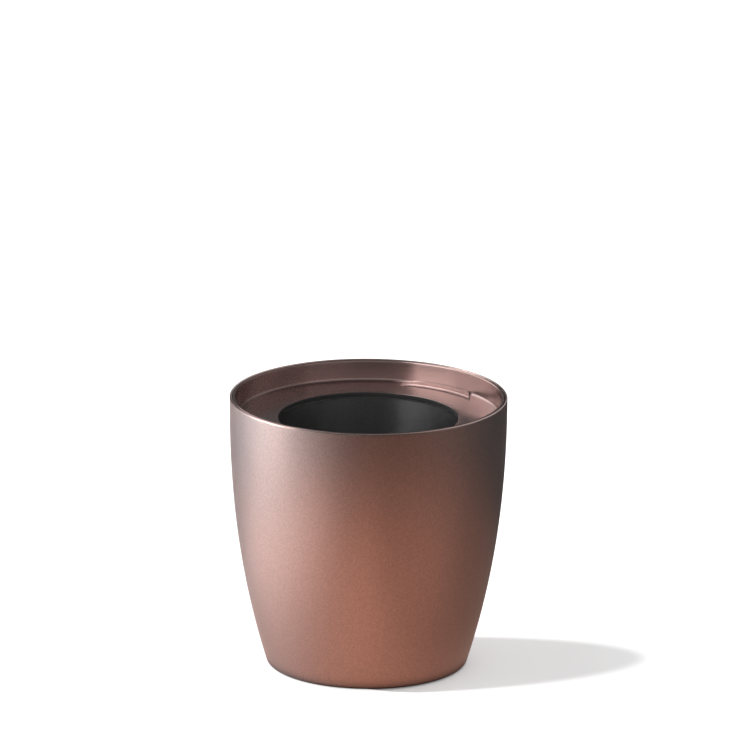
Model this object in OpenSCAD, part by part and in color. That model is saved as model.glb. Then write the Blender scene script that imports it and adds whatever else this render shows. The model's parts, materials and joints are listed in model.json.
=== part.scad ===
/* [Jug outline] */
// Radius of the widest part, at the rim
rim_r = 55; // [52:0.5:58]
// Radius that the wall runs down to at the floor
foot_r = 39.7; // [38.5:0.1:41]
// Height from the floor to the top of the lip
jug_h = 109.7; // [108:0.1:114]
// How late the wall flares in towards the foot, as a power
flare = 2.25; // [2:0.05:2.6]
// Thickness of the outer shell's wall
shell_t = 0.9; // [0.7:0.1:1.2]
// Radius of the shell's bottom edge
edge_r = 1.6; // [1:0.1:1.8]
// Gap between the shell and the table, under the feet's height
shell_lift = 0.4; // [0.3:0.1:0.6]

/* [Collar] */
// Radius of the collar's upright inner wall, which a lid fits in
well_r = 52.8; // [52.4:0.1:52.9]
// Depth of the ledge below the lip
ledge_drop = 8.7; // [8:0.1:9]
// Thickness of the ledge
ledge_t = 1.8; // [1.6:0.1:2.2]
// Radius of the round mouth in the ledge
mouth_r = 35.7; // [35:0.1:36]
// How far a lid rib stands above the ledge
rib_h = 1.1; // [0.8:0.1:1.4]
// Width of a lid rib, inwards from the wall
rib_w = 5; // [4:0.5:6]
// Distance from the jug's axis to the first lid rib's flat end stop
rib_stop = 40.3; // [38:0.1:42]
// Angle where the first lid rib begins
rib_far = 78; // [70:1:85]

/* [Milk pot] */
// Inner radius of the pot at its flange
pot_top_r = 36.2; // [36:0.1:36.6]
// Inner radius of the pot just above its floor
pot_foot_r = 35.2; // [34.8:0.1:35.8]
// Height of the pot's inner floor above the table
pot_floor = 46.2; // [46:0.1:47]
// Wall thickness of the pot
pot_t = 1.0; // [0.8:0.1:1.1]
// Radius of the post that the whisk turns on
post_r = 2.0; // [1.8:0.1:2.2]

/* [Whisk] */
// Radius of the circle that the coil's middle follows
coil_ring_r = 15; // [14.8:0.1:15.4]
// Radius of one turn of the coil
turn_r = 2.6; // [2.4:0.1:2.6]
// Radius of the coil's wire
wire_r = 0.4; // [0.3:0.05:0.4]
// Number of turns round the whisk
turn_count = 24; // [18:1:28]

/* [Base] */
// Radius of the socket that drops over a power stand's plug
socket_r = 11; // [10.5:0.1:11.2]
// Number of rubber feet
foot_count = 3; // [3:1:4]
// Radius of the circle that the feet stand on
foot_ring_r = 29; // [28:0.5:30]

/* [Hidden] */
$fn = 64;

// Angles of the three points where the housing and the board are fixed, and of the motor's posts
fix_angles = [90, 210, 330];
post_angles = [30, 150, 270];

// Heights in the collar
ledge_z = jug_h - ledge_drop;
ledge_under = ledge_z - ledge_t;
collar_top = jug_h - 0.15;
collar_r = rim_r - shell_t - 0.2;
skirt_low = 92;
collar_foot = 97.5;

// Pot flange, seal and clamp ring under the ledge
seal_t = 0.8;
flange_z = ledge_under - seal_t;
flange_r = 42;
clamp_z = flange_z - 1;
clamp_t = 1.5;
clamp_r = 48;
clamp_screw_r = 45.5;
pot_under = pot_floor - 1.2;
pot_corner = 6;

// Base: shell flange, cover, chassis
flange_low = 1.6;
flange_high = 2.5;
shell_open_r = 33.5;
recess_r = 36.8;
cover_z = 0.6;
chassis_top = 4.5;
hub_hole_r = 13.6;
fix_r = 33.2;
lug_r = 30.8;
lug_t = 1.6;
cover_fix_r = 27.5;
motor_post_r = 27;
board_z = 14;
board_t = 1.6;
board_r = 30.6;
board_fix_r = 24;
socket_out_r = 13.4;
socket_top = 12;
contact_z = 9;
contact_t = 0.8;

// Motor and its bracket
motor_low = 17.6;
motor_top = 34.5;
motor_r = 12.2;
can_t = 0.9;
shaft_r = 1.5;
bush_r = 3;
run_gap = 0.05;
plate_t = 1.2;
mount_low = 32;
mount_high = 37.2;

// Magnet carrier, heater and whisk
carrier_z = 39.5;
carrier_top = 43.3;
carrier_r = 15.5;
magnet_r = 3;
magnet_ring_r = 8.5;
heater_in = 19;
heater_out = 29.5;
heater_z = 43;
element_r = 23.5;
element_wire_r = 2;
hub_z = 47.95;
hub_disc_top = 53.15;
hub_top = 61.9;
hub_disc_r = 13.2;
bush_out_r = 3.2;
coil_z = (hub_z + hub_disc_top) / 2;
whisk_magnet_z = 48.6;

// The jug's outside radius at height z
function wall_r(z) = rim_r - (rim_r - foot_r) * pow(1 - z / jug_h, flare);
// Lean of the wall near the floor, from upright
lean = atan((rim_r - foot_r) * flare / jug_h);
edge_z = shell_lift + edge_r;
edge_top = edge_z - edge_r * sin(lean);
edge_x = wall_r(edge_top) - edge_r * cos(lean);
// Inner radius of the pot at height z
function pot_r(z) = pot_foot_r + (pot_top_r - pot_foot_r) * (z - pot_floor) / (flange_z - pot_floor);

// A ring or tube on the jug's axis
module ring(r_in, r_out, z, h) {
    translate([0, 0, z])
        difference() {
            cylinder(r = r_out, h = h);
            translate([0, 0, -1]) cylinder(r = r_in, h = h + 2);
        }
}

// Places its children at each angle in the list, at a radius from the axis
module around(angles, radius) {
    for (a = angles)
        rotate([0, 0, a])
            translate([radius, 0, 0]) children();
}

// A screw with its head on top: the head's underside is at z = 0
module screw(head_r, head_h, shank_r, shank_l) {
    difference() {
        union() {
            cylinder(r = head_r, h = head_h);
            translate([0, 0, -shank_l]) cylinder(r = shank_r, h = shank_l);
        }
        translate([0, 0, head_h / 2 + 0.5]) cube([head_r * 1.2, head_r * 0.35, head_h], center = true);
        translate([0, 0, head_h / 2 + 0.5]) cube([head_r * 0.35, head_r * 1.2, head_h], center = true);
    }
}

function unit(v) = v / norm(v);
// The direction of a path at its point i
function heading(path, i) = unit(path[min(i + 1, len(path) - 1)] - path[max(i - 1, 0)]);

// An insulated lead along a path that never runs level with the X axis
module lead(path, r) {
    sides = 8;
    last = len(path) - 1;
    points = [for (i = [0:last])
        let (d = heading(path, i), u = unit(cross(d, [1, 0, 0])), v = cross(d, u))
            for (k = [0:sides - 1]) path[i] + r * (u * cos(360 * k / sides) + v * sin(360 * k / sides))];
    walls = [for (i = [0:last - 1], k = [0:sides - 1])
        [i * sides + k, (i + 1) * sides + k, (i + 1) * sides + (k + 1) % sides, i * sides + (k + 1) % sides]];
    start = [for (k = [0:sides - 1]) k];
    end = [for (k = [sides - 1:-1:0]) last * sides + k];
    polyhedron(points, concat(walls, [start, end]));
}

module outer_shell() {
    steps = 18;
    lip = shell_t / 2;
    rise = jug_h - lip - edge_top;
    outside = [for (i = [0:steps]) [wall_r(edge_top + rise * i / steps), edge_top + rise * i / steps]];
    top = [for (a = [30:30:150]) [rim_r - lip + lip * cos(a), jug_h - lip + lip * sin(a)]];
    inner_low = flange_high + 1;
    fall = jug_h - lip - inner_low;
    inside = [for (i = [0:steps])
        [wall_r(jug_h - lip - fall * i / steps) - shell_t, jug_h - lip - fall * i / steps]];
    corner = [for (a = [-90:15:-30]) [edge_x + edge_r * cos(a), edge_z + edge_r * sin(a)]];
    color([0.55, 0.37, 0.32])
        rotate_extrude($fn = 128)
            polygon(concat(
                [[recess_r, shell_lift]],
                corner,
                outside,
                top,
                inside,
                [[wall_r(flange_high) - shell_t - 0.5, flange_high]],
                [[shell_open_r, flange_high], [shell_open_r, flange_low], [recess_r, flange_low]]));
}

// A raised arc on the ledge, cut off square at its stop
module lid_rib() {
    near = 25;
    difference() {
        rotate([0, 0, near])
            rotate_extrude(angle = rib_far - near, $fn = 128)
                translate([well_r - rib_w, ledge_z - 0.5]) square([rib_w + 0.3, rib_h + 0.5]);
        translate([rib_stop, 0, ledge_z - 2]) cube([20, 60, rib_h + 4]);
    }
}

module rim_collar() {
    foot_round = 1.2;
    top_mid = (collar_r + well_r) / 2;
    top_half = (collar_r - well_r) / 2;
    top = [for (a = [0:30:180]) [top_mid + top_half * cos(a), collar_top - top_half + top_half * sin(a)]];
    fillet = [for (a = [0:-22.5:-90])
        [well_r - foot_round + foot_round * cos(a), ledge_z + foot_round + foot_round * sin(a)]];
    mouth = [for (a = [90:30:180]) [mouth_r + 0.7 + 0.7 * cos(a), ledge_z - 0.7 + 0.7 * sin(a)]];
    color([0.5, 0.36, 0.34])
        difference() {
            union() {
                rotate_extrude($fn = 128)
                    polygon(concat(
                        top,
                        fillet,
                        mouth,
                        [[mouth_r, ledge_under], [well_r - 1, ledge_under]],
                        [[well_r - 1, skirt_low], [well_r + 0.4, skirt_low], [well_r + 0.4, collar_foot]],
                        [[collar_r, collar_foot]]));
                for (turn = [0, 180])
                    rotate([0, 0, turn]) lid_rib();
                around([45, 135, 225, 315], clamp_screw_r)
                    translate([0, 0, flange_z - 1]) cylinder(r = 2.4, h = 2.5);
            }
            around([45, 135, 225, 315], clamp_screw_r)
                translate([0, 0, flange_z - 2]) cylinder(r = 1.2, h = 3.8);
        }
}

module pot_seal() {
    color("dimgray") ring(mouth_r + 1, flange_r - 0.5, flange_z, seal_t);
}

module milk_pot() {
    steps = 6;
    in_c = pot_corner - pot_t;
    in_x = pot_r(pot_floor) - in_c;
    bend = [for (i = [0:steps]) -90 * i / steps];
    inner = [for (a = bend) [in_x + in_c * cos(a), pot_floor + in_c + in_c * sin(a)]];
    outer_x = pot_r(pot_under) + pot_t - pot_corner;
    outer = [for (i = [0:steps])
        [outer_x + pot_corner * cos(-90 + 90 * i / steps),
            pot_under + pot_corner + pot_corner * sin(-90 + 90 * i / steps)]];
    color([0.2, 0.2, 0.2])
        difference() {
            rotate_extrude($fn = 128)
                polygon(concat(
                    [[pot_top_r, flange_z]],
                    inner,
                    [[0, pot_floor], [0, pot_under]],
                    outer,
                    [[pot_top_r + pot_t, flange_z - 1], [flange_r, flange_z - 1], [flange_r, flange_z]]));
            cylinder(r = 1.5, h = 200, center = true);
        }
}

module pivot_post() {
    color("silver")
        rotate_extrude()
            polygon([[0, 44.3], [2.4, 44.3], [2.6, pot_under], [1.5, pot_under], [1.5, pot_floor],
                [4, pot_floor], [4, pot_floor + 0.6], [post_r, pot_floor + 0.6], [post_r, 57.2],
                [post_r - 0.7, 58], [0, 58]]);
}

module pot_clamp_ring() {
    color("lightgray")
        difference() {
            ring(pot_top_r + 2, clamp_r, clamp_z - clamp_t, clamp_t);
            around([45, 135, 225, 315], clamp_screw_r)
                translate([0, 0, clamp_z - 3]) cylinder(r = 1.5, h = 5);
        }
}

module pot_screws() {
    color("gray")
        around([45, 135, 225, 315], clamp_screw_r)
            translate([0, 0, clamp_z - clamp_t]) mirror([0, 0, 1]) screw(2.3, 1.6, 1.2, 4.2);
}

module heat_shield() {
    color("silver") ring(39, 39.5, pot_under + 1, clamp_z - clamp_t - pot_under - 1);
}

module inner_housing() {
    steps = 12;
    gap = 3.2;
    wall = 1.6;
    rise = ledge_under - chassis_top;
    outside = [for (i = [steps:-1:0])
        [wall_r(chassis_top + rise * i / steps) - gap, chassis_top + rise * i / steps]];
    inside = [for (i = [1:steps])
        [wall_r(chassis_top + rise * i / steps) - gap - wall, chassis_top + rise * i / steps]];
    foot = [[lug_r, chassis_top], [lug_r, chassis_top + lug_t],
        [wall_r(chassis_top + lug_t) - gap - wall, chassis_top + lug_t]];
    color([0.16, 0.16, 0.17])
        difference() {
            union() {
                rotate_extrude($fn = 96) polygon(concat(foot, inside, outside));
                around(fix_angles, fix_r)
                    translate([0, 0, chassis_top + lug_t / 2]) cylinder(r = 2.3, h = 12);
            }
            around(fix_angles, fix_r) cylinder(r = 1.2, h = 16);
        }
}

module heater_plate() {
    color("gainsboro")
        difference() {
            ring(heater_in, heater_out, heater_z, pot_under - heater_z);
            translate([0, 0, heater_z - 0.4])
                rotate_extrude($fn = 96) translate([element_r, 0]) circle(r = element_wire_r, $fn = 32);
            translate([0, element_r, 0]) cylinder(r = 3.4, h = 60);
        }
}

module heater_element() {
    span = 310;
    color("gray") {
        translate([0, 0, heater_z - 0.4])
            rotate([0, 0, 115])
                rotate_extrude(angle = span, $fn = 96)
                    translate([element_r, 0]) circle(r = element_wire_r, $fn = 32);
        around([116.5, 63.5], element_r)
            translate([0, 0, 37.5]) cylinder(r = 1, h = 4.5);
    }
}

module temperature_sensor() {
    color("white")
        translate([0, element_r, 0]) {
            translate([0, 0, 40]) cylinder(r = 3.2, h = pot_under - 40);
            translate([0, 0, 39]) cylinder(r = 2.2, h = 1);
        }
}

module thermal_fuse() {
    color("tan")
        translate([-5, -27.5, heater_z - 1.8])
            rotate([0, 90, 0]) cylinder(r = 1.8, h = 10);
}

module motor_bracket() {
    color("lightgray")
        translate([0, 0, motor_top])
            difference() {
                union() {
                    cylinder(r = 22, h = plate_t);
                    around(post_angles, motor_post_r) cylinder(r = 5.4, h = plate_t);
                    for (a = post_angles)
                        rotate([0, 0, a]) translate([15, -5.4, 0]) cube([12, 10.8, plate_t]);
                }
                translate([0, 0, -1]) cylinder(r = 4.6, h = 4);
                around(post_angles, motor_post_r) translate([0, 0, -1]) cylinder(r = 3.4, h = 4);
                around([0, 180], 8) translate([0, 0, -1]) cylinder(r = 1.3, h = 4);
            }
}

module vibration_mounts() {
    color("black")
        around(post_angles, motor_post_r)
            rotate_extrude()
                polygon([[2, mount_low], [5, mount_low], [5, motor_top], [3.4, motor_top],
                    [3.4, motor_top + plate_t], [5, motor_top + plate_t], [5, mount_high], [2, mount_high]]);
}

module bracket_screws() {
    color("gray")
        around(post_angles, motor_post_r)
            translate([0, 0, mount_high]) screw(4, 1.6, 1.5, 15);
}

module motor_can() {
    color("silver")
        difference() {
            union() {
                translate([0, 0, motor_low]) cylinder(r = motor_r, h = motor_top - motor_low);
                translate([0, 0, motor_top]) cylinder(r = 4.5, h = 1.5);
            }
            translate([0, 0, motor_low - 1])
                cylinder(r = motor_r - can_t, h = motor_top - can_t - motor_low + 1);
            cylinder(r = bush_r, h = 60);
            around([0, 180], 8) translate([0, 0, 30]) cylinder(r = 1.2, h = 10);
        }
}

module motor_end_cap() {
    color([0.85, 0.85, 0.8])
        difference() {
            ring(bush_r, motor_r - can_t, motor_low, 1.8);
            around([60, 240], 8) cylinder(r = 0.7, h = 30);
        }
}

module motor_magnets() {
    color("dimgray")
        for (a = [20, 200])
            rotate([0, 0, a])
                rotate_extrude(angle = 140, $fn = 64)
                    translate([9, 21]) square([motor_r - can_t - 9, 11]);
}

module motor_bushes() {
    color("peru") {
        ring(shaft_r + run_gap, bush_r, motor_low, 2.1);
        ring(shaft_r + run_gap, bush_r, motor_top - 1.1, 2.6);
    }
}

module motor_screws() {
    color("gray")
        around([0, 180], 8)
            translate([0, 0, motor_top + plate_t]) screw(2.2, 1.3, 1.2, plate_t + can_t);
}

module chassis() {
    color([0.2, 0.2, 0.22])
        difference() {
            union() {
                translate([0, 0, flange_high]) cylinder(r = 38.4, h = chassis_top - flange_high);
                around(post_angles, motor_post_r) cylinder(r = 3.6, h = mount_low);
                around(fix_angles, board_fix_r) cylinder(r = 2.2, h = board_z);
                around(fix_angles, cover_fix_r) cylinder(r = 2.6, h = 9);
            }
            translate([0, 0, -1]) cylinder(r = 60, h = flange_high + 1);
            translate([0, 0, -1]) cylinder(r = hub_hole_r, h = 20);
            around(fix_angles, fix_r) cylinder(r = 1.4, h = 10);
            around(fix_angles, fix_r) cylinder(r = 2.4, h = 3.7);
            around(fix_angles, cover_fix_r) cylinder(r = 1.2, h = 8);
            around(post_angles, motor_post_r) translate([0, 0, 21]) cylinder(r = 1.5, h = 20);
            around(fix_angles, board_fix_r) translate([0, 0, 8]) cylinder(r = 1, h = 10);
            around([0, 120, 240], 16.3) translate([0, 0, 0]) cylinder(r = 1, h = 10);
        }
}

module base_cover() {
    color([0.12, 0.12, 0.12])
        difference() {
            union() {
                translate([0, 0, cover_z]) cylinder(r = recess_r - 0.2, h = flange_low - cover_z);
                translate([0, 0, cover_z]) cylinder(r = shell_open_r - 0.3, h = flange_high - cover_z);
            }
            translate([0, 0, -1]) cylinder(r = hub_hole_r, h = 10);
            for (i = [0:foot_count - 1])
                rotate([0, 0, 30 + 360 * i / foot_count])
                    translate([foot_ring_r, 0, -1]) cylinder(r = 4.2, h = 2.4);
            around(fix_angles, cover_fix_r) cylinder(r = 1.4, h = 10);
            around(fix_angles, cover_fix_r) cylinder(r = 2.5, h = 1.8);
        }
}

module rubber_feet() {
    color([0.08, 0.08, 0.08])
        for (i = [0:foot_count - 1])
            rotate([0, 0, 30 + 360 * i / foot_count])
                translate([foot_ring_r, 0, 0]) cylinder(r = 4.2, h = 1.4);
}

module chassis_screws() {
    color("gray")
        around(fix_angles, fix_r)
            translate([0, 0, 3.7]) mirror([0, 0, 1]) screw(2.2, 1.1, 1.2, 9.3);
}

module cover_screws() {
    color("gray")
        around(fix_angles, cover_fix_r)
            translate([0, 0, 1.8]) mirror([0, 0, 1]) screw(2.3, 1.1, 1.2, 6);
}

module connector_socket() {
    color([0.1, 0.1, 0.1])
        difference() {
            union() {
                translate([0, 0, 0.9]) cylinder(r = socket_out_r, h = socket_top - 0.9);
                translate([0, 0, chassis_top]) cylinder(r = 18.6, h = 1.5);
            }
            cylinder(r = socket_r, h = contact_z);
            translate([0, 0, contact_z - 1]) cylinder(r = 2, h = contact_t + 1);
            ring(4.6, 5.8, contact_z - 1, contact_t + 1);
            ring(8.2, 9.4, contact_z - 1, contact_t + 1);
            cylinder(r = 0.9, h = 20);
            translate([5.2, 0, 0]) cylinder(r = 0.5, h = 20);
            translate([-8.8, 0, 0]) cylinder(r = 0.5, h = 20);
            around([0, 120, 240], 16.3) cylinder(r = 1.1, h = 20);
        }
}

module connector_screws() {
    color("gray")
        around([0, 120, 240], 16.3)
            translate([0, 0, chassis_top + 1.5]) screw(1.9, 1.3, 1, 3.4);
}

module centre_contact() {
    color("gold") {
        translate([0, 0, contact_z]) cylinder(r = 2, h = contact_t);
        translate([0, 0, contact_z]) cylinder(r = 0.9, h = board_z - contact_z);
    }
}

// A ring contact with a stem up to the board
module ring_contact(r_mid, stem_x) {
    color("gold") {
        ring(r_mid - 0.6, r_mid + 0.6, contact_z, contact_t);
        translate([stem_x, 0, contact_z + 0.2]) cylinder(r = 0.5, h = board_z - contact_z - 0.2);
    }
}

module inner_ring_contact() {
    ring_contact(5.2, 5.2);
}

module outer_ring_contact() {
    ring_contact(8.8, -8.8);
}

module control_board() {
    color([0.1, 0.35, 0.2])
        translate([0, 0, board_z])
            difference() {
                cylinder(r = board_r, h = board_t);
                around(post_angles, motor_post_r) translate([0, 0, -1]) cylinder(r = 4.2, h = 4);
                around(fix_angles, board_fix_r) translate([0, 0, -1]) cylinder(r = 1.2, h = 4);
            }
}

module board_relay() {
    color([0.15, 0.3, 0.6]) translate([-27, -7, 6.8]) cube([9, 14, board_z - 6.8]);
}

module board_capacitor() {
    color([0.2, 0.2, 0.3]) translate([23, 0, 6.6]) cylinder(r = 4, h = board_z - 6.6);
}

module board_chips() {
    color([0.1, 0.1, 0.1]) {
        translate([-4, -22, board_z + board_t]) cube([8, 6, 1.4]);
        translate([14, 2, board_z + board_t]) cube([5, 9, 1.2]);
        translate([-20, -4, board_z + board_t]) cube([4, 8, 1.6]);
    }
}

module board_screws() {
    color("gray")
        around(fix_angles, board_fix_r)
            translate([0, 0, board_z + board_t]) screw(2.1, 1.3, 1, 6);
}

module wiring() {
    low = board_z + board_t;
    color("firebrick")
        for (side = [-1, 1]) {
            lead([[side * 10.49, 21.03, 37.5], [side * 10.49, 21.03, 36.8], [side * 10.8, 22, 35.5],
                [side * 12, 25.5, 32], [side * 12.3, 26, 26], [side * 12, 25.5, 20],
                [side * 10, 22.5, 17.5], [side * 9.6, 22, 16.6], [side * 9.6, 22, low]], 0.8);
            lead([[side * 1, element_r, 39], [side * 1, element_r, 38.4], [side * 1.1, 25, 36.5],
                [side * 1.2, 27, 33], [side * 1.5, 27.6, 26], [side * 3, 27, 19.5],
                [side * 4.5, 26, 16.8], [side * 4.5, 25.8, 16.2], [side * 4.5, 25.8, low]], 0.4);
            translate([side * 4, side * 6.93, low]) cylinder(r = 0.7, h = motor_low - low);
        }
}

module motor_shaft() {
    color("silver") translate([0, 0, motor_low + 0.3]) cylinder(r = shaft_r, h = 42.5 - motor_low - 0.3);
}

module motor_armature() {
    color("chocolate") {
        ring(shaft_r, 8.2, 21.6, 10);
        ring(shaft_r, 3.2, 19.9, 12.6);
    }
}

module magnet_carrier() {
    color([0.85, 0.85, 0.82])
        difference() {
            union() {
                translate([0, 0, 36.7]) cylinder(r = 4.4, h = 4);
                translate([0, 0, carrier_z]) cylinder(r = carrier_r, h = carrier_top - carrier_z);
            }
            translate([0, 0, 30]) cylinder(r = shaft_r, h = 12.5);
            around([0:90:270], magnet_ring_r) translate([0, 0, 40.2]) cylinder(r = magnet_r, h = 5);
        }
}

module drive_magnets() {
    color("darkgray")
        around([0:90:270], magnet_ring_r)
            translate([0, 0, 40.2]) cylinder(r = magnet_r, h = carrier_top - 40.2);
}

module whisk_bush() {
    color("ivory")
        rotate_extrude()
            polygon([[post_r + 0.1, pot_floor + 0.7], [4.4, pot_floor + 0.7], [4.4, hub_z - 0.05],
                [bush_out_r, hub_z - 0.05], [bush_out_r, hub_top + 0.1], [4.2, hub_top + 0.1],
                [4, 63], [2.4, 63.9], [0, 64.2], [0, 58.3], [post_r + 0.1, 58.3]]);
}

module whisk_hub() {
    color([0.13, 0.13, 0.13])
        difference() {
            rotate_extrude($fn = 96)
                polygon([[bush_out_r + run_gap, hub_z], [hub_disc_r, hub_z], [hub_disc_r, hub_disc_top],
                    [7.5, hub_disc_top], [5.4, 55.4], [4.8, 58], [4.8, hub_top],
                    [bush_out_r + run_gap, hub_top]]);
            translate([0, 0, coil_z])
                rotate_extrude($fn = 96) translate([coil_ring_r, 0]) circle(r = 3.1, $fn = 48);
            ring(4.6, 11.8, hub_z - 1, 1 + whisk_magnet_z - hub_z);
            around([0:90:270], 8) translate([0, 0, 47]) cylinder(r = 2.6, h = 4);
        }
}

module whisk_cover() {
    color([0.2, 0.2, 0.2]) ring(4.6, 11.8, hub_z, whisk_magnet_z - hub_z);
}

module whisk_magnets() {
    color("darkgray")
        around([0:90:270], 8)
            translate([0, 0, whisk_magnet_z]) cylinder(r = 2.6, h = 51 - whisk_magnet_z);
}

module whisk_coil() {
    color("silver")
        translate([0, 0, coil_z]) {
            for (i = [0:turn_count - 1])
                rotate([0, 0, 360 * i / turn_count])
                    translate([coil_ring_r, 0, 0])
                        rotate([90, 0, 0])
                            rotate_extrude($fn = 48) translate([turn_r, 0]) circle(r = wire_r, $fn = 16);
            rotate_extrude($fn = 96)
                translate([coil_ring_r - turn_r, 0]) circle(r = wire_r * 0.75, $fn = 16);
        }
}

outer_shell();
rim_collar();
pot_seal();
milk_pot();
pot_clamp_ring();
pot_screws();
pivot_post();
heat_shield();
inner_housing();
heater_plate();
heater_element();
temperature_sensor();
thermal_fuse();
motor_bracket();
vibration_mounts();
bracket_screws();
motor_can();
motor_end_cap();
motor_magnets();
motor_bushes();
motor_screws();
chassis();
chassis_screws();
base_cover();
rubber_feet();
cover_screws();
connector_socket();
connector_screws();
centre_contact();
inner_ring_contact();
outer_ring_contact();
control_board();
board_relay();
board_capacitor();
board_chips();
board_screws();
wiring();
motor_shaft();
motor_armature();
magnet_carrier();
drive_magnets();
whisk_bush();
whisk_hub();
whisk_cover();
whisk_magnets();
whisk_coil();
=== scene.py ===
"""A copper-painted milk frother jug on a pale floor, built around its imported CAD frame."""

import json
import math

import bmesh
import bpy
from mathutils import Matrix, Vector


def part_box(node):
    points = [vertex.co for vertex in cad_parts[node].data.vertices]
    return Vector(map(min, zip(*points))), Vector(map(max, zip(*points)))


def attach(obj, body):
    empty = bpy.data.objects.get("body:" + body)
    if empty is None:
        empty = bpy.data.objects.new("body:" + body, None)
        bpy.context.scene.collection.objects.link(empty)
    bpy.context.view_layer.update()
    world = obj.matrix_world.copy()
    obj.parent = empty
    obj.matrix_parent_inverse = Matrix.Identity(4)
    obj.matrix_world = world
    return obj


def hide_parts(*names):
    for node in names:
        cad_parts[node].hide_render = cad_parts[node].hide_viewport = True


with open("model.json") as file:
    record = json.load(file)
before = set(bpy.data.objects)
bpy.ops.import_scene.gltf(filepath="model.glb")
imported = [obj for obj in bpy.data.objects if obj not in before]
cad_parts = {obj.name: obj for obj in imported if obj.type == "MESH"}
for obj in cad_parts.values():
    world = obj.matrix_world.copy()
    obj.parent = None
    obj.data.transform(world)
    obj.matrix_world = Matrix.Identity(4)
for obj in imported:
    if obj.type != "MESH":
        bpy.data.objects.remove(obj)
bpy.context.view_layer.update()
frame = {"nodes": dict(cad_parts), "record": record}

MM = 0.001
NODES = frame["nodes"]


def top_of(node):
    """Height of a node's highest point, in millimetres."""
    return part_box(node)[1].z / MM


def bottom_of(node):
    """Height of a node's lowest point, in millimetres."""
    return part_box(node)[0].z / MM


def slot_of(node):
    """The record's material slot of a node."""
    return next(entry["material_slot"] for entry in frame["record"]["subparts"] if entry["node"] == node)


# Outline of the jug, in millimetres
JUG_H = top_of("outer_shell")
RIM_R = 55.0
FOOT_R = 39.7
FLARE = 2.25
SHELL_T = 0.9
SHELL_LOW = bottom_of("outer_shell")
EDGE_R = 1.6

# Collar
COLLAR_TOP = top_of("rim_collar")
COLLAR_R = 53.9
WELL_R = 52.8
LEDGE_Z = JUG_H - 8.7
LEDGE_T = 1.8
MOUTH_R = 35.7
SKIRT_LOW = bottom_of("rim_collar")
WELL_FILLET = 1.2
MOUTH_EDGE = 0.4
RIB_H = 1.1
RIB_W = 5.0
RIB_STOP = 40.3
RIB_FAR = 79.0
RIB_RAMP = 14.0
RIB_ROUND = 0.4
SEAM_W = 0.4
SEAM_DEEP = 0.3
# Width of the painted shade band at each rib's stop.
STOP_SHADE_BAND = 0.3


# ---------------------------------------------------------------- mesh helpers

def link(obj):
    bpy.context.scene.collection.objects.link(obj)
    return obj


def finish_mesh(name, work, sharp_degrees=40.0):
    """Turns a bmesh into a linked object with smooth shading and sharp creases."""
    bmesh.ops.recalc_face_normals(work, faces=work.faces)
    data = bpy.data.meshes.new(name)
    work.to_mesh(data)
    work.free()
    data.shade_smooth()
    data.set_sharp_from_angle(angle=math.radians(sharp_degrees))
    return link(bpy.data.objects.new(name, data))


def arc(centre_r, centre_z, radius, start, stop, steps):
    """Points along an arc in the (radius, height) half-plane; angles in degrees."""
    points = []
    for i in range(steps + 1):
        a = math.radians(start + (stop - start) * i / steps)
        points.append((centre_r + radius * math.cos(a), centre_z + radius * math.sin(a)))
    return points


def add_revolved(work, profile, count, centre=(0.0, 0.0)):
    """Turns a closed outline of (radius, height) about an upright axis, all in millimetres."""
    angles = [math.radians(360.0 * i / count) for i in range(count)]
    rings = []
    for r, z in profile:
        if r < 1e-6:
            rings.append([work.verts.new((centre[0] * MM, centre[1] * MM, z * MM))])
            continue
        rings.append([work.verts.new(((centre[0] + r * math.cos(a)) * MM,
                                      (centre[1] + r * math.sin(a)) * MM,
                                      z * MM)) for a in angles])
    for a, b in zip(rings, rings[1:] + rings[:1]):
        if len(a) == 1 and len(b) == 1:
            continue
        for i in range(count):
            j = (i + 1) % count
            corners = [a[i % len(a)], a[j % len(a)], b[j % len(b)], b[i % len(b)]]
            unique = list(dict.fromkeys(corners))
            work.faces.new(unique)


def revolve(name, profile, count):
    """A turned piece on the jug's axis."""
    work = bmesh.new()
    add_revolved(work, profile, count)
    return finish_mesh(name, work)


def smoothstep(low, high, x):
    """0 below low, 1 above high, and an easy curve between."""
    t = min(1.0, max(0.0, (x - low) / (high - low)))
    return t * t * (3.0 - 2.0 * t)


def part_finish(piece, material, wanted):
    """Gives the faces whose middle, in millimetres, is wanted a material of their own."""
    piece.data.materials.append(material)
    index = len(piece.data.materials) - 1
    for face in piece.data.polygons:
        if wanted(*(face.center / MM)):
            face.material_index = index


def place(piece, node, body, slot):
    """Makes a detailed piece stand for a CAD node, in the slot's material."""
    piece.data.materials.append(MATERIALS[slot])
    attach(piece, body)
    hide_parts(node)


# ---------------------------------------------------------------- materials

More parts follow.
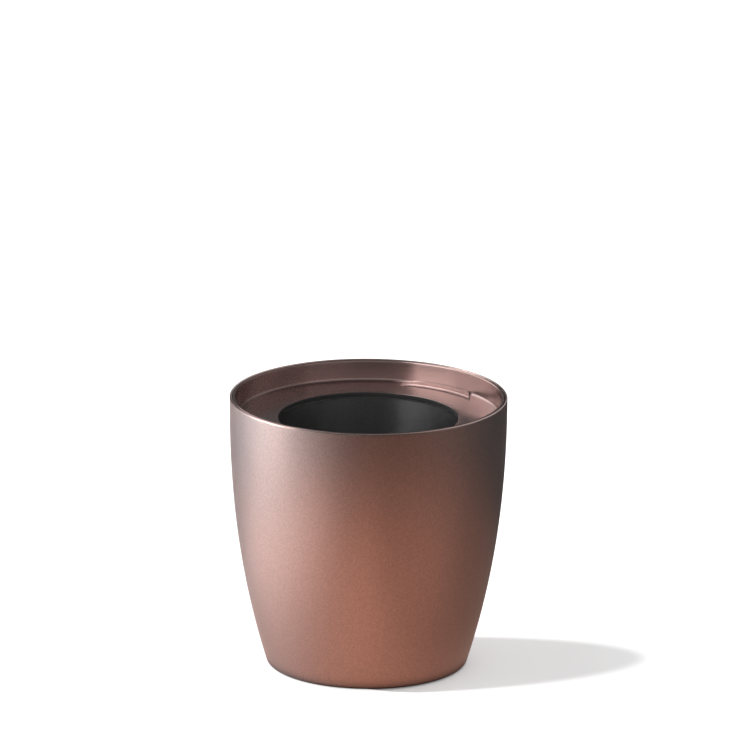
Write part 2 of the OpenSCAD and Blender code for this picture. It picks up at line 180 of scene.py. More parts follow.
class Look:
    """A node-based material: a Principled shader with helpers for procedural detail."""

    def __init__(self, name, **sockets):
        self.mat = bpy.data.materials.new(name)
        self.mat.use_nodes = True
        self.tree = self.mat.node_tree
        self.shader = next(n for n in self.tree.nodes if n.type == "BSDF_PRINCIPLED")
        self.coords = self.tree.nodes.new("ShaderNodeTexCoord")
        for key, value in sockets.items():
            self.shader.inputs[key.replace("_", " ")].default_value = value

    def join(self, output, target):
        self.tree.links.new(output, target)

    def stretch(self, scale):
        """Object coordinates, stretched along each axis."""
        node = self.tree.nodes.new("ShaderNodeMapping")
        node.inputs["Scale"].default_value = scale
        self.join(self.coords.outputs["Object"], node.inputs["Vector"])
        return node.outputs["Vector"]

    def noise(self, scale, detail=2.0, rough=0.5, vector=None):
        node = self.tree.nodes.new("ShaderNodeTexNoise")
        node.inputs["Scale"].default_value = scale
        node.inputs["Detail"].default_value = detail
        node.inputs["Roughness"].default_value = rough
        self.join(vector or self.coords.outputs["Object"], node.inputs["Vector"])
        return node.outputs["Fac"]

    def ramp(self, value, low, high, start, stop):
        """Maps a value from start..stop to low..high."""
        node = self.tree.nodes.new("ShaderNodeMapRange")
        node.inputs["From Min"].default_value = start
        node.inputs["From Max"].default_value = stop
        node.inputs["To Min"].default_value = low
        node.inputs["To Max"].default_value = high
        self.join(value, node.inputs["Value"])
        return node.outputs["Result"]

    def mix(self, factor, first, second):
        node = self.tree.nodes.new("ShaderNodeMix")
        node.data_type = "RGBA"
        self.join(factor, node.inputs["Factor"])
        for key, value in (("A", first), ("B", second)):
            socket = next(s for s in node.inputs if s.name == key and s.type == "RGBA")
            if isinstance(value, tuple):
                socket.default_value = (*value, 1.0)
            else:
                self.join(value, socket)
        return next(s for s in node.outputs if s.type == "RGBA")

    def colour(self, output):
        self.join(output, self.shader.inputs["Base Color"])

    def roughness(self, output):
        self.join(output, self.shader.inputs["Roughness"])

    def bump(self, height, strength, distance_mm):
        node = self.tree.nodes.new("ShaderNodeBump")
        node.inputs["Strength"].default_value = strength
        node.inputs["Distance"].default_value = distance_mm * MM
        self.join(height, node.inputs["Height"])
        previous = self.shader.inputs["Normal"]
        if previous.is_linked:
            self.join(previous.links[0].from_socket, node.inputs["Normal"])
        self.join(node.outputs["Normal"], previous)

    def turned(self, amount):
        """A surface spun about the upright axis: reflections stay sharp round it and spread across it."""
        node = self.tree.nodes.new("ShaderNodeTangent")
        node.direction_type = "RADIAL"
        node.axis = "Z"
        self.shader.inputs["Anisotropic"].default_value = amount
        self.shader.inputs["Anisotropic Rotation"].default_value = 0.25
        self.join(node.outputs["Tangent"], self.shader.inputs["Tangent"])


def shell_paint():
    """Satin metallic copper paint: fine flake, faint mottling, a soft clear coat."""
    look = Look("copper_paint", Metallic=1.0, Coat_Weight=1.0, Coat_Roughness=0.53, Coat_IOR=2.0)
    flake = look.noise(1500.0, 1.0, 0.6)
    cloud = look.noise(60.0, 3.0, 0.5)
    fleck = look.ramp(flake, 0.0, 1.0, 0.3, 0.7)
    look.colour(look.mix(fleck, (0.385, 0.188, 0.141), (0.515, 0.252, 0.189)))
    look.roughness(look.ramp(cloud, 0.33, 0.37, 0.3, 0.7))
    look.bump(flake, 0.18, 0.02)
    return look.mat


def shaded_lip_paint():
    """A darker copy of the copper paint, with no coat, over the shell's turned lip: painted shade that
    dims the lip's reflected highlight.
    """
    look = Look("copper_lip_painted_shade", Metallic=1.0)
    flake = look.noise(1500.0, 1.0, 0.6)
    look.colour(look.mix(look.ramp(flake, 0.0, 1.0, 0.3, 0.7), (0.25, 0.145, 0.12), (0.31, 0.18, 0.15)))
    look.roughness(look.ramp(flake, 0.36, 0.42, 0.3, 0.7))
    return look.mat


def collar_gloss():
    """Spun metal collar in copper lacquer."""
    look = Look("collar_lacquer", Metallic=1.0, Coat_Weight=0.15, Coat_Roughness=0.05, Coat_IOR=1.5)
    flake = look.noise(3200.0, 2.0, 0.6)
    wave = look.noise(90.0, 2.0, 0.5)
    look.colour(look.mix(look.ramp(flake, 0.0, 1.0, 0.4, 0.6), (0.41, 0.293, 0.275), (0.47, 0.336, 0.315)))
    look.roughness(look.ramp(wave, 0.22, 0.24, 0.3, 0.7))
    look.turned(1.0)
    return look.mat


def painted_rib_shade():
    """Near-black colour in the fine channels round a lid rib and at its stop: painted shade where little
    light gets in.
    """
    look = Look("painted_rib_shade", Metallic=0.6)
    fine = look.noise(1400.0, 2.0, 0.5)
    look.colour(look.mix(look.ramp(fine, 0.0, 1.0, 0.35, 0.65), (0.07, 0.045, 0.042), (0.11, 0.07, 0.066)))
    look.roughness(look.ramp(fine, 0.45, 0.6, 0.3, 0.7))
    return look.mat


def nonstick():
    """Dark non-stick coating over spun metal, with a slight orange peel."""
    look = Look("nonstick_coating", Metallic=0.9)
    peel = look.noise(500.0, 2.0, 0.55)
    speck = look.noise(2400.0, 1.0, 0.5)
    look.colour(look.mix(look.ramp(speck, 0.0, 1.0, 0.4, 0.7), (0.15, 0.151, 0.153), (0.18, 0.182, 0.184)))
    look.roughness(look.ramp(peel, 0.3, 0.36, 0.3, 0.7))
    look.bump(peel, 0.1, 0.04)
    look.turned(0.9)
    return look.mat


def moulded(name, colour, rough=0.5, grain=1400.0, metallic=0.0):
    """Moulded plastic, rubber or ceramic with a fine texture."""
    look = Look(name, Metallic=metallic)
    fine = look.noise(grain, 3.0, 0.6)
    lighter = tuple(min(1.0, c * 1.25 + 0.004) for c in colour)
    look.colour(look.mix(look.ramp(fine, 0.0, 1.0, 0.35, 0.65), colour, lighter))
    look.roughness(look.ramp(fine, rough - 0.06, rough + 0.08, 0.3, 0.7))
    look.bump(fine, 0.25, 0.03)
    return look.mat


def metal(name, colour, rough=0.3, stretch=(40.0, 40.0, 2200.0)):
    """Bare metal with fine turned or brushed lines."""
    look = Look(name, Metallic=1.0)
    lines = look.noise(1.0, 3.0, 0.6, look.stretch(stretch))
    darker = tuple(c * 0.82 for c in colour)
    look.colour(look.mix(look.ramp(lines, 0.0, 1.0, 0.35, 0.65), darker, colour))
    look.roughness(look.ramp(lines, rough - 0.07, rough + 0.09, 0.3, 0.7))
    look.bump(lines, 0.12, 0.02)
    return look.mat


MATERIALS = {
    "shell_paint": shell_paint(),
    "collar_gloss": collar_gloss(),
    "nonstick": nonstick(),
    "black_plastic": moulded("black_moulding", (0.018, 0.018, 0.019), 0.45),
    "pale_plastic": moulded("pale_moulding", (0.62, 0.6, 0.54), 0.4),
    "board_green": moulded("board_laminate", (0.015, 0.12, 0.05), 0.35, 600.0),
    "relay_blue": moulded("component_case", (0.02, 0.07, 0.3), 0.3, 700.0),
    "wire_red": moulded("wire_insulation", (0.35, 0.02, 0.015), 0.4, 900.0),
    "rubber_black": moulded("black_rubber", (0.012, 0.012, 0.012), 0.75, 1000.0),
    "seal_silicone": moulded("grey_silicone", (0.1, 0.1, 0.1), 0.55, 800.0),
    "steel": metal("stainless_steel", (0.56, 0.56, 0.57), 0.25),
    "zinc_steel": metal("zinc_plated_steel", (0.5, 0.51, 0.53), 0.32),
    "aluminium": metal("bare_aluminium", (0.75, 0.76, 0.77), 0.38),
    "brass": metal("contact_brass", (0.72, 0.5, 0.22), 0.28),
    "magnet_grey": metal("sintered_magnet", (0.16, 0.16, 0.17), 0.5, (900.0, 900.0, 900.0)),
    "armature_copper": metal("enamelled_copper", (0.6, 0.24, 0.1), 0.32, (60.0, 60.0, 3000.0)),
}


# ---------------------------------------------------------------- pieces

def wall_r(z):
    """The jug's outside radius at a height."""
    return RIM_R - (RIM_R - FOOT_R) * (1.0 - z / JUG_H) ** FLARE


def shell_profile():
    """The shell's closed outline: rolled-in bottom edge, outside, lip, inside and bottom flange."""
    lean = math.degrees(math.atan((RIM_R - FOOT_R) * FLARE / JUG_H))
    edge_z = SHELL_LOW + EDGE_R
    edge_top = edge_z - EDGE_R * math.sin(math.radians(lean))
    edge_x = wall_r(edge_top) - EDGE_R * math.cos(math.radians(lean))
    lip = SHELL_T / 2
    low, high = edge_top, JUG_H - lip
    steps = 120
    outside = [(wall_r(low + (high - low) * i / steps), low + (high - low) * i / steps)
               for i in range(steps + 1)]
    inside = [(wall_r(high - (high - 3.5) * i / 60) - SHELL_T, high - (high - 3.5) * i / 60)
              for i in range(61)]
    return (
        [(36.8, SHELL_LOW)]
        + arc(edge_x, edge_z, EDGE_R, -90.0, -lean, 12)[:-1]
        + outside
        + arc(RIM_R - lip, high, lip, 0.0, 180.0, 12)[1:-1]
        + inside
        + [(wall_r(2.5) - SHELL_T - 0.5, 2.5), (33.5, 2.5), (33.5, 1.6), (36.8, 1.6)]
    )


def outer_shell():
    """The painted skin, with a darker copy of the paint over its lip as painted shade."""
    piece = revolve("shell_skin", shell_profile(), 320)
    place(piece, "outer_shell", "jug", "shell_paint")
    # The lip faces take the darker copy of the paint: painted shade that tones down their highlight.
    part_finish(piece, shaded_lip_paint(), lambda x, y, z: z > JUG_H - 0.4)
    return piece


def collar_profile():
    """The collar's closed outline: upright wall, fillet, ledge, mouth and skirt."""
    half = (COLLAR_R - WELL_R) / 2
    mid = (COLLAR_R + WELL_R) / 2
    wall_top = COLLAR_TOP - half
    wall_foot = LEDGE_Z + WELL_FILLET
    well = [(WELL_R, wall_foot + (wall_top - wall_foot) * (1 - i / 10)) for i in range(1, 10)]
    ledge_under = LEDGE_Z - LEDGE_T
    ledge = [(WELL_R - WELL_FILLET - i, LEDGE_Z) for i in range(1, 15)]
    return (
        arc(mid, wall_top, half, 0.0, 180.0, 12)
        + well
        + arc(WELL_R - WELL_FILLET, wall_foot, WELL_FILLET, 0.0, -90.0, 8)
        + ledge
        + arc(MOUTH_R + MOUTH_EDGE, LEDGE_Z - MOUTH_EDGE, MOUTH_EDGE, 90.0, 180.0, 6)
        + [(MOUTH_R, ledge_under), (WELL_R - 1.0, ledge_under)]
        + [(WELL_R - 1.0, SKIRT_LOW), (WELL_R + 0.4, SKIRT_LOW)]
        + [(WELL_R + 0.4, 97.5), (COLLAR_R, 97.5)]
    )


def rib_section():
    """Outline of a lid rib across its length: a bar with a rounded inner edge and a small foot."""
    inner = WELL_R - RIB_W
    top = LEDGE_Z + RIB_H
    return (
        [(WELL_R + 0.2, LEDGE_Z - 0.3), (WELL_R + 0.2, top - SEAM_DEEP), (WELL_R, top - SEAM_DEEP),
         (WELL_R - SEAM_W, top), (WELL_R - 2.0, top)]
        + arc(inner + RIB_ROUND, top - RIB_ROUND, RIB_ROUND, 90.0, 180.0, 5)
        + [(inner, LEDGE_Z + SEAM_DEEP), (inner - SEAM_W, LEDGE_Z + 0.02), (inner - SEAM_W, LEDGE_Z - 0.3)]
    )


def add_rib(work, turn):
    """A raised arc on the ledge: it fades in at its far end and stops square in a plane at RIB_STOP."""
    steps = 64
    section = rib_section()
    rings = []
    for along in [0.0, 0.012] + [i / steps for i in range(1, steps + 1)]:
        ring = []
        for r, z in section:
            stop = math.degrees(math.acos(RIB_STOP / r))
            angle = stop + (RIB_FAR - stop) * along
            height = 1.0 - smoothstep(RIB_FAR - RIB_RAMP, RIB_FAR, angle)
            level = LEDGE_Z - 0.3 + (z - LEDGE_Z + 0.3) * height if z > LEDGE_Z else z
            t = math.radians(angle + turn)
            ring.append(work.verts.new((r * math.cos(t) * MM, r * math.sin(t) * MM, level * MM)))
        rings.append(ring)
    count = len(section)
    for a, b in zip(rings, rings[1:]):
        for i in range(count):
            j = (i + 1) % count
            work.faces.new((a[i], a[j], b[j], b[i]))
    work.faces.new(rings[0])
    work.faces.new(list(reversed(rings[-1])))
    stop_rim = set(rings[0])
    edges = [e for e in work.edges if e.verts[0] in stop_rim and e.verts[1] in stop_rim
             and min(v.co.z for v in e.verts) > (LEDGE_Z - 0.1) * MM]
    bmesh.ops.bevel(work, geom=edges, offset=0.22 * MM, segments=3, profile=0.5, affect="EDGES")


def in_mouth(x, y, z):
    """The upright edge of the ledge's mouth."""
    return math.hypot(x, y) < MOUTH_R + 0.15 and z < LEDGE_Z


def in_painted_rib_shade(x, y, z):
    """The narrow channels behind a lid rib, in front of it and at its stop, which get painted shade."""
    r, inner, top = math.hypot(x, y), WELL_R - RIB_W, LEDGE_Z + RIB_H
    if x * y < 0.0 or abs(x) > RIB_STOP + 0.01 or r > WELL_R + 0.01 or z < LEDGE_Z + 0.03:
        return False
    before_ramp = math.degrees(math.atan2(y, x)) % 180.0 < RIB_FAR - RIB_RAMP
    behind = before_ramp and r > WELL_R - SEAM_W and top - SEAM_DEEP - 0.01 < z < top - 0.02
    front = inner - SEAM_W < r < inner + 0.01 and z < LEDGE_Z + SEAM_DEEP
    stop = abs(x) > RIB_STOP - STOP_SHADE_BAND and z < top + 0.01 and r > inner - SEAM_W
    return behind or front or stop


def rim_collar():
    """The collar with its two lid ribs."""
    work = bmesh.new()
    add_revolved(work, collar_profile(), 360)
    for turn in (0.0, 180.0):
        add_rib(work, turn)
    piece = finish_mesh("collar_ring", work, 38.0)
    place(piece, "rim_collar", "jug", "collar_gloss")
    part_finish(piece, MATERIALS["rubber_black"], in_mouth)
    # Painted shade: near-black colour in the rib's channels and at its stop.
    part_finish(piece, painted_rib_shade(), in_painted_rib_shade)


def milk_pot():
    """The pot's wall, rounded corner, floor and flange, as one thin turned sheet."""
    floor_z, under = 46.2, 45.0
    flange = top_of("milk_pot")
    top_r, foot_r, wall, corner = 36.2, 35.2, 1.0, 6.0

    def inner_r(z):
        return foot_r + (top_r - foot_r) * (z - floor_z) / (flange - floor_z)

    in_c = corner - wall
    inner_wall = [(inner_r(flange - (flange - floor_z - in_c) * i / 40),
                   flange - (flange - floor_z - in_c) * i / 40) for i in range(40)]
    outer_wall = [(inner_r(under + corner + (flange - 1.0 - under - corner) * i / 20) + wall,
                   under + corner + (flange - 1.0 - under - corner) * i / 20) for i in range(1, 21)]
    profile = (
        inner_wall
        + arc(inner_r(floor_z) - in_c, floor_z + in_c, in_c, 0.0, -90.0, 12)
        + [(20.0, floor_z), (1.5, floor_z), (1.5, under), (20.0, under)]
        + arc(inner_r(under) + wall - corner, under + corner, corner, -90.0, 0.0, 12)
        + outer_wall
        + [(42.0, flange - 1.0), (42.0, flange)]
    )
    piece = revolve("pot_liner", profile, 256)
    place(piece, "milk_pot", "jug", "nonstick")


def add_tube(work, points, radius):
    """A closed wire of a radius along a loop of points, all in millimetres."""
    sides = 8
    count = len(points)
    path = [Vector(p) for p in points]
    rings = []
    across = None
    for i in range(count):
        ahead = (path[(i + 1) % count] - path[i - 1]).normalized()
        if across is None:
            across = ahead.orthogonal().normalized()
        across = (across - ahead * across.dot(ahead)).normalized()
        other = ahead.cross(across)
        ring = []
        for k in range(sides):
            t = 2.0 * math.pi * k / sides
            spot = path[i] + radius * (across * math.cos(t) + other * math.sin(t))
            ring.append(work.verts.new(spot * MM))
        rings.append(ring)
    for i in range(count):
        a, b = rings[i], rings[(i + 1) % count]
        shift = min(range(sides), key=lambda k: (b[k].co - a[0].co).length)
        for k in range(sides):
            m = (k + 1) % sides
            work.faces.new((a[k], a[m], b[(m + shift) % sides], b[(k + shift) % sides]))


def soften(outline):
    """Rounds the corners of a closed (radius, height, corner radius) outline; 0 keeps a corner sharp."""
    steps = 5
    points = []
    for i, (r, z, size) in enumerate(outline):
        here = Vector((r, z))
        back = Vector(outline[i - 1][:2]) - here
        on = Vector(outline[(i + 1) % len(outline)][:2]) - here
        cut = min(size, 0.45 * back.length, 0.45 * on.length)
        start, end = here + back.normalized() * cut, here + on.normalized() * cut
        if size == 0.0:
            points.append((r, z))
            continue
        for k in range(steps + 1):
            t = k / steps
            spot = start * (1 - t) ** 2 + here * 2 * t * (1 - t) + end * t ** 2
            points.append((spot.x, spot.y))
    return points


def turned_piece(name, node, body, outline, count, centres=((0.0, 0.0),)):
    """A lathe-turned piece with eased corners, once about each centre."""
    work = bmesh.new()
    for centre in centres:
        add_revolved(work, soften(outline), count, centre)
    place(finish_mesh(name, work, 50.0), node, body, slot_of(node))


def whisk_parts():
    """The pivot post, and the bush and hub that turn on it."""
    pot_under, pot_floor, post_r = 45.0, 46.2, 2.0
    turned_piece("turned_post", "pivot_post", "jug", [
        (0.0, 44.3, 0), (2.4, 44.3, 0.1), (2.6, pot_under, 0), (1.5, pot_under, 0), (1.5, pot_floor, 0),
        (4.0, pot_floor, 0), (4.0, pot_floor + 0.6, 0.25), (post_r, pot_floor + 0.6, 0.1),
        (post_r, 57.2, 0.2), (post_r - 0.7, 58.0, 0.2), (0.0, 58.0, 0)], 64)
    hub_z, disc_top, hub_top, bush_r, gap = 47.95, 53.15, 61.9, 3.2, 0.05
    turned_piece("turned_bush", "whisk_bush", "whisk_bush_body", [
        (post_r + 0.1, pot_floor + 0.7, 0), (4.4, pot_floor + 0.7, 0.2), (4.4, hub_z - 0.05, 0.15),
        (bush_r, hub_z - 0.05, 0), (bush_r, hub_top + 0.1, 0), (4.2, hub_top + 0.1, 0.15),
        (4.0, 63.0, 0.4), (2.4, 63.9, 0.6), (0.0, 64.2, 0), (0.0, 58.3, 0), (post_r + 0.1, 58.3, 0)], 64)
    coil_z, ring_r, groove = (hub_z + disc_top) / 2, 15.0, 3.1
    reach = math.degrees(math.asin((disc_top - 0.35 - coil_z) / groove))
    hollow = [(r, z, 0) for r, z in arc(ring_r, coil_z, groove, 180.0 + reach, 180.0 - reach, 16)]
    rim = ring_r - groove * math.cos(math.radians(reach))
    turned_piece("turned_hub", "whisk_hub", "whisk", [
        (bush_r + gap, hub_z, 0.1), (4.6, hub_z, 0.1), (4.6, 48.6, 0), (11.8, 48.6, 0), (11.8, hub_z, 0.1),
        (rim, hub_z, 0.25)] + hollow + [(rim, disc_top, 0.25), (7.5, disc_top, 1.2), (5.4, 55.4, 0.8),
        (4.8, 58.0, 0.8), (4.8, hub_top, 0.35), (bush_r + gap, hub_top, 0.1)], 128)


def rubber_feet():
    """Three soft pads with a rounded rim and a shallow dimple."""
    low, high = bottom_of("rubber_feet"), top_of("rubber_feet")
    spots = [(29.0 * math.cos(math.radians(a)), 29.0 * math.sin(math.radians(a))) for a in (30, 150, 270)]
    turned_piece("foot_pads", "rubber_feet", "jug", [
        (0.0, low + 0.25, 0), (2.2, low + 0.25, 0.3), (2.6, low, 0.3), (4.2, low, 0.45), (4.2, high, 0.1),
        (0.0, high, 0)], 64, spots)


def whisk_coil():
    """One long spring wire wound round the whisk's edge, and the core ring that it is threaded on."""
    low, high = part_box("whisk_coil")
    middle = (low.z + high.z) / 2 / MM
    ring_r, turn_r, wire_r, turns = 15.0, 2.6, 0.4, 24
    steps = turns * 32
    helix = []
    for i in range(steps):
        around = 2.0 * math.pi * i / steps
        wind = turns * around
        r = ring_r + turn_r * math.cos(wind)
        helix.append((r * math.cos(around), r * math.sin(around), middle + turn_r * math.sin(wind)))
    core_r = ring_r - turn_r + wire_r + 0.3
    core_angles = [math.radians(3 * i) for i in range(120)]
    core = [(core_r * math.cos(a), core_r * math.sin(a), middle) for a in core_angles]
    work = bmesh.new()
    add_tube(work, helix, wire_r)
    add_tube(work, core, 0.3)
    piece = finish_mesh("spring_coil", work, 60.0)
    place(piece, "whisk_coil", "whisk", slot_of("whisk_coil"))


def dress_frame():
    """Gives each CAD node that stays in view its material."""
    for entry in frame["record"]["subparts"]:
        node = NODES[entry["node"]]
        node.data.materials.clear()
        node.data.materials.append(MATERIALS[entry["material_slot"]])


# ---------------------------------------------------------------- studio

# The studio's reflected light. Each patch has (low, edge, high, edge) in degrees round from the front
# to the left, the same above level, and its radiance
SKIN_ROOM = 0.02
SKIN_TINT = (1.0, 1.24, 1.37)
SKIN_LIGHTS = [
    ((81.5, 14.0, 97.5, 19.5), (-11.5, 38.5, 20.0, 15.0), 26.5),
    ((-150.0, 30.0, -67.0, 30.0), (20.0, 20.0, 40.0, 30.0), 1.4),
    ((-200.0, 1.0, 200.0, 1.0), (35.0, 25.0, 100.0, 1.0), 0.38),
]
GLOSS_ROOM = 0.13
GLOSS_LIGHTS = [
    ((41.0, 1.0, 78.0, 6.0), (-14.0, 4.0, 60.0, 12.0), 2.6),
    ((84.0, 6.0, 138.0, 16.0), (-14.0, 4.0, 60.0, 12.0), 1.8),
    ((-56.0, 3.0, 40.0, 1.0), (-10.0, 5.0, 30.0, 15.0), 0.46),
    ((-130.0, 10.0, -59.0, 3.0), (-10.0, 5.0, 30.0, 15.0), 0.24),
]
FLOOR_TINT = (1.0, 0.69, 0.56)
FLOOR_CENTRE = (0.08, -0.123, 0.0)
FLOOR_REACH = 0.328
FLOOR_NEAR = 1.0
FLOOR_FAR = 0.025
FLOOR_SHADE = 0.47
FLOOR_SHADOW = 0.26
FLOOR_LEFT = 1.0
FLOOR_LEFT_FAR = 0.3
FLOOR_LEFT_BACK = 0.25
FLOOR_LEFT_TINT = (0.97, 0.9, 0.87)
KEY_ELEVATION = 60.0
SHADE_LEAK = 0.2


def floor():
    """A wide sheet of pale paper."""
    work = bmesh.new()
    bmesh.ops.create_circle(work, cap_ends=True, segments=96, radius=120.0)
    plane = finish_mesh("floor", work)
    look = Look("floor_paper", Roughness=0.9, Specular_IOR_Level=0.1)
    look.shader.inputs["Base Color"].default_value = (0.8, 0.8, 0.8, 1.0)
    plane.data.materials.append(look.mat)
    plane.visible_glossy = False
    return plane


def light_only(lamp, name, objects, leave_out=False):
    """Lets a light reach only these objects, or all but these."""
    group = bpy.data.collections.new(name)
    for obj in objects:
        group.objects.link(obj)
    for member in group.collection_objects:
        member.light_linking.link_state = "EXCLUDE" if leave_out else "INCLUDE"
    lamp.light_linking.receiver_collection = group


def glossy_only(obj):
    """Seen in reflections, and by nothing else."""
    obj.visible_camera = False
    obj.visible_diffuse = False
    obj.visible_transmission = False
    obj.visible_volume_scatter = False
    obj.visible_shadow = False


def blank_emission(name, colour):
    """An emission-only material, its shader tree and its light node."""
    mat = bpy.data.materials.new(name)
    mat.use_nodes = True
    tree = mat.node_tree
    tree.nodes.clear()
    out = tree.nodes.new("ShaderNodeOutputMaterial")
    light = tree.nodes.new("ShaderNodeEmission")
    light.inputs["Color"].default_value = (*colour, 1.0)
    tree.links.new(light.outputs["Emission"], out.inputs["Surface"])
    return mat, tree, light


def math_node(tree, operation, first, second=None, third=None):
    """A maths step, whose inputs are numbers or other nodes' outputs."""
    node = tree.nodes.new("ShaderNodeMath")
    node.operation = operation
    for socket, value in zip(node.inputs, (first, second, third)):
        if value is None:
            continue
        if isinstance(value, (int, float)):
            socket.default_value = value
        else:
            tree.links.new(value, socket)
    return node.outputs["Value"]


def soft_step(tree, value, start, stop, low=0.0, high=1.0):
    """Goes smoothly from low to high as value goes from start to stop."""
    node = tree.nodes.new("ShaderNodeMapRange")
    node.interpolation_type = "SMOOTHSTEP"
    node.inputs["From Min"].default_value = start
    node.inputs["From Max"].default_value = stop
    node.inputs["To Min"].default_value = low
    node.inputs["To Max"].default_value = high
    tree.links.new(value, node.inputs["Value"])
    return node.outputs["Result"]


def soft_window(tree, value, low, low_edge, high, high_edge):
    """1 between low and high degrees, and 0 beyond their soft edges."""
    rise = soft_step(tree, value, math.radians(low - low_edge), math.radians(low))
    fall = soft_step(tree, value, math.radians(high), math.radians(high + high_edge), 1.0, 0.0)
    return math_node(tree, "MULTIPLY", rise, fall)


def direction_angles(tree):
    """Angle round from the front towards the left, and angle above level, of a point on the dome."""
    coords = tree.nodes.new("ShaderNodeTexCoord")
    unit = tree.nodes.new("ShaderNodeVectorMath")
    unit.operation = "NORMALIZE"
    parts = tree.nodes.new("ShaderNodeSeparateXYZ")
    tree.links.new(coords.outputs["Object"], unit.inputs[0])
    tree.links.new(unit.outputs["Vector"], parts.inputs["Vector"])
    left = math_node(tree, "MULTIPLY", parts.outputs["X"], -1.0)
    front = math_node(tree, "MULTIPLY", parts.outputs["Y"], -1.0)
    return math_node(tree, "ARCTAN2", left, front), math_node(tree, "ARCSINE", parts.outputs["Z"])


def reflected_room(name, radius, ambient, lights, tint):
    """The studio as a gloss sees it, for reflections only: a dim room with soft-edged patches of light.
    Rays go on through it, so that one room can lie inside another and each can serve its own pieces."""
    work = bmesh.new()
    bmesh.ops.create_uvsphere(work, u_segments=64, v_segments=32, radius=radius)
    room = finish_mesh(name, work)
    mat, tree, light = blank_emission(name + "_light", tint)
    around, above = direction_angles(tree)
    strength = ambient
    for wide, tall, radiance in lights:
        patch = math_node(tree, "MULTIPLY",
                          soft_window(tree, around, *wide),
                          soft_window(tree, above, *tall))
        strength = math_node(tree, "MULTIPLY_ADD", patch, radiance, strength)
    tree.links.new(strength, light.inputs["Strength"])
    clear = tree.nodes.new("ShaderNodeBsdfTransparent")
    both = tree.nodes.new("ShaderNodeAddShader")
    out = next(n for n in tree.nodes if n.type == "OUTPUT_MATERIAL")
    tree.links.new(light.outputs["Emission"], both.inputs[0])
    tree.links.new(clear.outputs["BSDF"], both.inputs[1])
    tree.links.new(both.outputs["Shader"], out.inputs["Surface"])
    room.data.materials.append(mat)
    glossy_only(room)
    return room


def reflected_floor():
    """The lit table as the metal sees it: bright near the jug, shaded on its right, dark far in front."""
    work = bmesh.new()
    bmesh.ops.create_circle(work, cap_ends=True, segments=96, radius=6.0)
    card = finish_mesh("floor_reflection", work)
    card.location.z = -0.0005
    mat, tree, light = blank_emission("table_light", FLOOR_TINT)
    coords = tree.nodes.new("ShaderNodeTexCoord")
    away = tree.nodes.new("ShaderNodeVectorMath")
    away.operation = "DISTANCE"
    away.inputs[1].default_value = FLOOR_CENTRE
    parts = tree.nodes.new("ShaderNodeSeparateXYZ")
    tree.links.new(coords.outputs["Object"], away.inputs[0])
    tree.links.new(coords.outputs["Object"], parts.inputs["Vector"])
    near = soft_step(tree, away.outputs["Value"], 0.0, FLOOR_REACH, FLOOR_NEAR, FLOOR_FAR)
    right = soft_step(tree, parts.outputs["X"], -0.02, 0.05)
    close = soft_step(tree, away.outputs["Value"], 0.12, 0.3, FLOOR_SHADE, 0.0)
    shade = math_node(tree, "MULTIPLY", right, close)
    lit = math_node(tree, "MULTIPLY", near, math_node(tree, "SUBTRACT", 1.0, shade))
    side = soft_step(tree, parts.outputs["X"], -0.03, -0.17)
    for limit in (soft_step(tree, parts.outputs["X"], -0.14, -0.34, 1.0, FLOOR_LEFT_FAR),
                  soft_step(tree, parts.outputs["Y"], -0.3, -0.2),
                  soft_step(tree, parts.outputs["Y"], 0.03, 0.15, 1.0, FLOOR_LEFT_BACK)):
        side = math_node(tree, "MULTIPLY", side, limit)
    left = math_node(tree, "MULTIPLY", side, FLOOR_LEFT)
    tint = tree.nodes.new("ShaderNodeMix")
    tint.data_type = "RGBA"
    colours = [s for s in tint.inputs if s.type == "RGBA"]
    colours[0].default_value = (*FLOOR_TINT, 1.0)
    colours[1].default_value = (*FLOOR_LEFT_TINT, 1.0)
    tree.links.new(side, tint.inputs["Factor"])
    tree.links.new(next(s for s in tint.outputs if s.type == "RGBA"), light.inputs["Color"])
    spread = tree.nodes.new("ShaderNodeVectorMath")
    spread.operation = "LENGTH"
    tree.links.new(coords.outputs["Object"], spread.inputs[0])
    contact = soft_step(tree, spread.outputs["Value"], FOOT_R * MM, (FOOT_R + 6.0) * MM, 0.05, 1.0)
    behind = math_node(tree, "MULTIPLY", soft_step(tree, parts.outputs["X"], 0.03, 0.08),
                       soft_step(tree, parts.outputs["Y"], -0.08, -0.03, 0.0, FLOOR_SHADOW))
    lit = math_node(tree, "MULTIPLY", lit, math_node(tree, "SUBTRACT", 1.0, behind))
    total = math_node(tree, "ADD", lit, left)
    tree.links.new(math_node(tree, "MULTIPLY", total, contact), light.inputs["Strength"])
    card.data.materials.append(mat)
    glossy_only(card)


def sky_light():
    """Even white light from all round, which no reflection shows."""
    world = bpy.data.worlds.new("studio")
    bpy.context.scene.world = world
    world.use_nodes = True
    background = next(n for n in world.node_tree.nodes if n.type == "BACKGROUND")
    background.inputs["Color"].default_value = (1.0, 1.0, 1.0, 1.0)
    background.inputs["Strength"].default_value = 1.05
    world.cycles_visibility.glossy = False


def key_light(ground, shade):
    """A distant key from the left. It lights the floor, and the shade's soft shadow falls on the right."""
    data = bpy.data.lights.new("key", "SUN")
    data.energy = 3.0
    data.angle = math.radians(7.0)
    lamp = link(bpy.data.objects.new("key", data))
    elevation = math.radians(KEY_ELEVATION)
    towards = Vector((-math.cos(elevation), 0.0, math.sin(elevation)))
    lamp.rotation_euler = towards.to_track_quat("Z", "Y").to_euler()
    lamp.visible_glossy = False
    lamp.visible_camera = False
    light_only(lamp, "key_lit", [ground])
    blockers = bpy.data.collections.new("key_shade")
    blockers.objects.link(shade)
    lamp.light_linking.blocker_collection = blockers


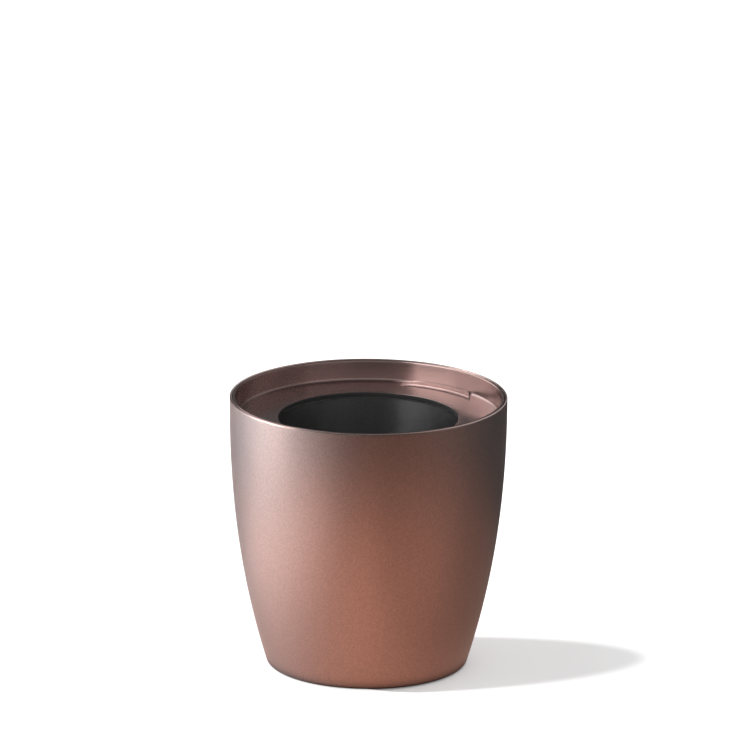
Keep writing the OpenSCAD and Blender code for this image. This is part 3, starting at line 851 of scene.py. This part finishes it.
def shadow_card():
    """An unseen slanted card in the key's way, for the long slim shadow that the jug throws."""
    long, hidden, wide, turn = 0.096, 0.04, 0.0355, math.radians(8.0)
    centre = Vector((0.02, -0.006))
    low, high = 0.004, 0.11
    slope = 1.0 / math.tan(math.radians(KEY_ELEVATION))
    work = bmesh.new()
    ring = []
    for i in range(96):
        a = 2.0 * math.pi * i / 96
        x, y = (long if math.cos(a) > 0 else hidden) * math.cos(a), wide * math.sin(a)
        x, y = x * math.cos(turn) - y * math.sin(turn), x * math.sin(turn) + y * math.cos(turn)
        height = low + (high - low) * smoothstep(-0.2, 1.0, x / long)
        ring.append(work.verts.new((centre.x + x - height * slope, centre.y + y, height)))
    work.faces.new(ring)
    bmesh.ops.triangulate(work, faces=work.faces)
    card = finish_mesh("shadow_card", work)
    mat, tree, _ = blank_emission("shade_card", (0.0, 0.0, 0.0))
    thin = tree.nodes.new("ShaderNodeBsdfTransparent")
    coords = tree.nodes.new("ShaderNodeTexCoord")
    parts = tree.nodes.new("ShaderNodeSeparateXYZ")
    tree.links.new(coords.outputs["Object"], parts.inputs["Vector"])
    on_floor = math_node(tree, "MULTIPLY_ADD", parts.outputs["Z"], slope, parts.outputs["X"])
    tree.links.new(soft_step(tree, on_floor, 0.025, 0.09, SHADE_LEAK, 0.0), thin.inputs["Color"])
    out = next(n for n in tree.nodes if n.type == "OUTPUT_MATERIAL")
    tree.links.new(thin.outputs["BSDF"], out.inputs["Surface"])
    card.data.materials.append(mat)
    for kind in ("camera", "diffuse", "glossy", "transmission", "volume_scatter"):
        setattr(card, "visible_" + kind, False)
    return card


def rotate_about(v, axis, angle):
    """A vector turned about an axis, in radians."""
    return Matrix.Rotation(angle, 3, axis) @ v


def camera():
    """A long lens at 17 degrees above level, from the front."""
    distance, centre_z = 3.0, 0.05
    elevation, roll = math.radians(16.99536), math.radians(0.429375)
    yaw, pitch = math.radians(-0.047125), math.radians(1.254543)
    place_at = Vector((0.0, -distance * math.cos(elevation), centre_z + distance * math.sin(elevation)))
    forward = Vector((0.0, math.cos(elevation), -math.sin(elevation)))
    right = Vector((1.0, 0.0, 0.0))
    up = right.cross(forward)
    forward = rotate_about(forward, up, yaw)
    right = rotate_about(right, up, yaw)
    forward = rotate_about(forward, right, pitch)
    up = rotate_about(up, right, pitch)
    x_axis = right * math.cos(roll) + up * math.sin(roll)
    y_axis = -right * math.sin(roll) + up * math.cos(roll)
    data = bpy.data.cameras.new("camera")
    data.sensor_width = 36.0
    data.lens = 361.8288
    data.clip_start = 0.05
    data.clip_end = 400.0
    cam = link(bpy.data.objects.new("camera", data))
    turn = Matrix((x_axis, y_axis, -forward)).transposed()
    cam.matrix_world = Matrix.Translation(place_at) @ turn.to_4x4()
    bpy.context.scene.camera = cam


def studio(skin):
    """Floor, lights, what the metal reflects, and the camera."""
    bpy.context.scene.view_settings.view_transform = "Standard"
    ground = floor()
    light_only(reflected_room("skin_room", 20.0, SKIN_ROOM, SKIN_LIGHTS, SKIN_TINT), "skin_lit", [skin])
    light_only(reflected_room("gloss_room", 30.0, GLOSS_ROOM, GLOSS_LIGHTS, (1.0, 1.0, 1.0)),
               "gloss_lit", [skin], leave_out=True)
    reflected_floor()
    sky_light()
    key_light(ground, shadow_card())
    camera()


dress_frame()
skin = outer_shell()
rim_collar()
milk_pot()
whisk_parts()
whisk_coil()
rubber_feet()
studio(skin)
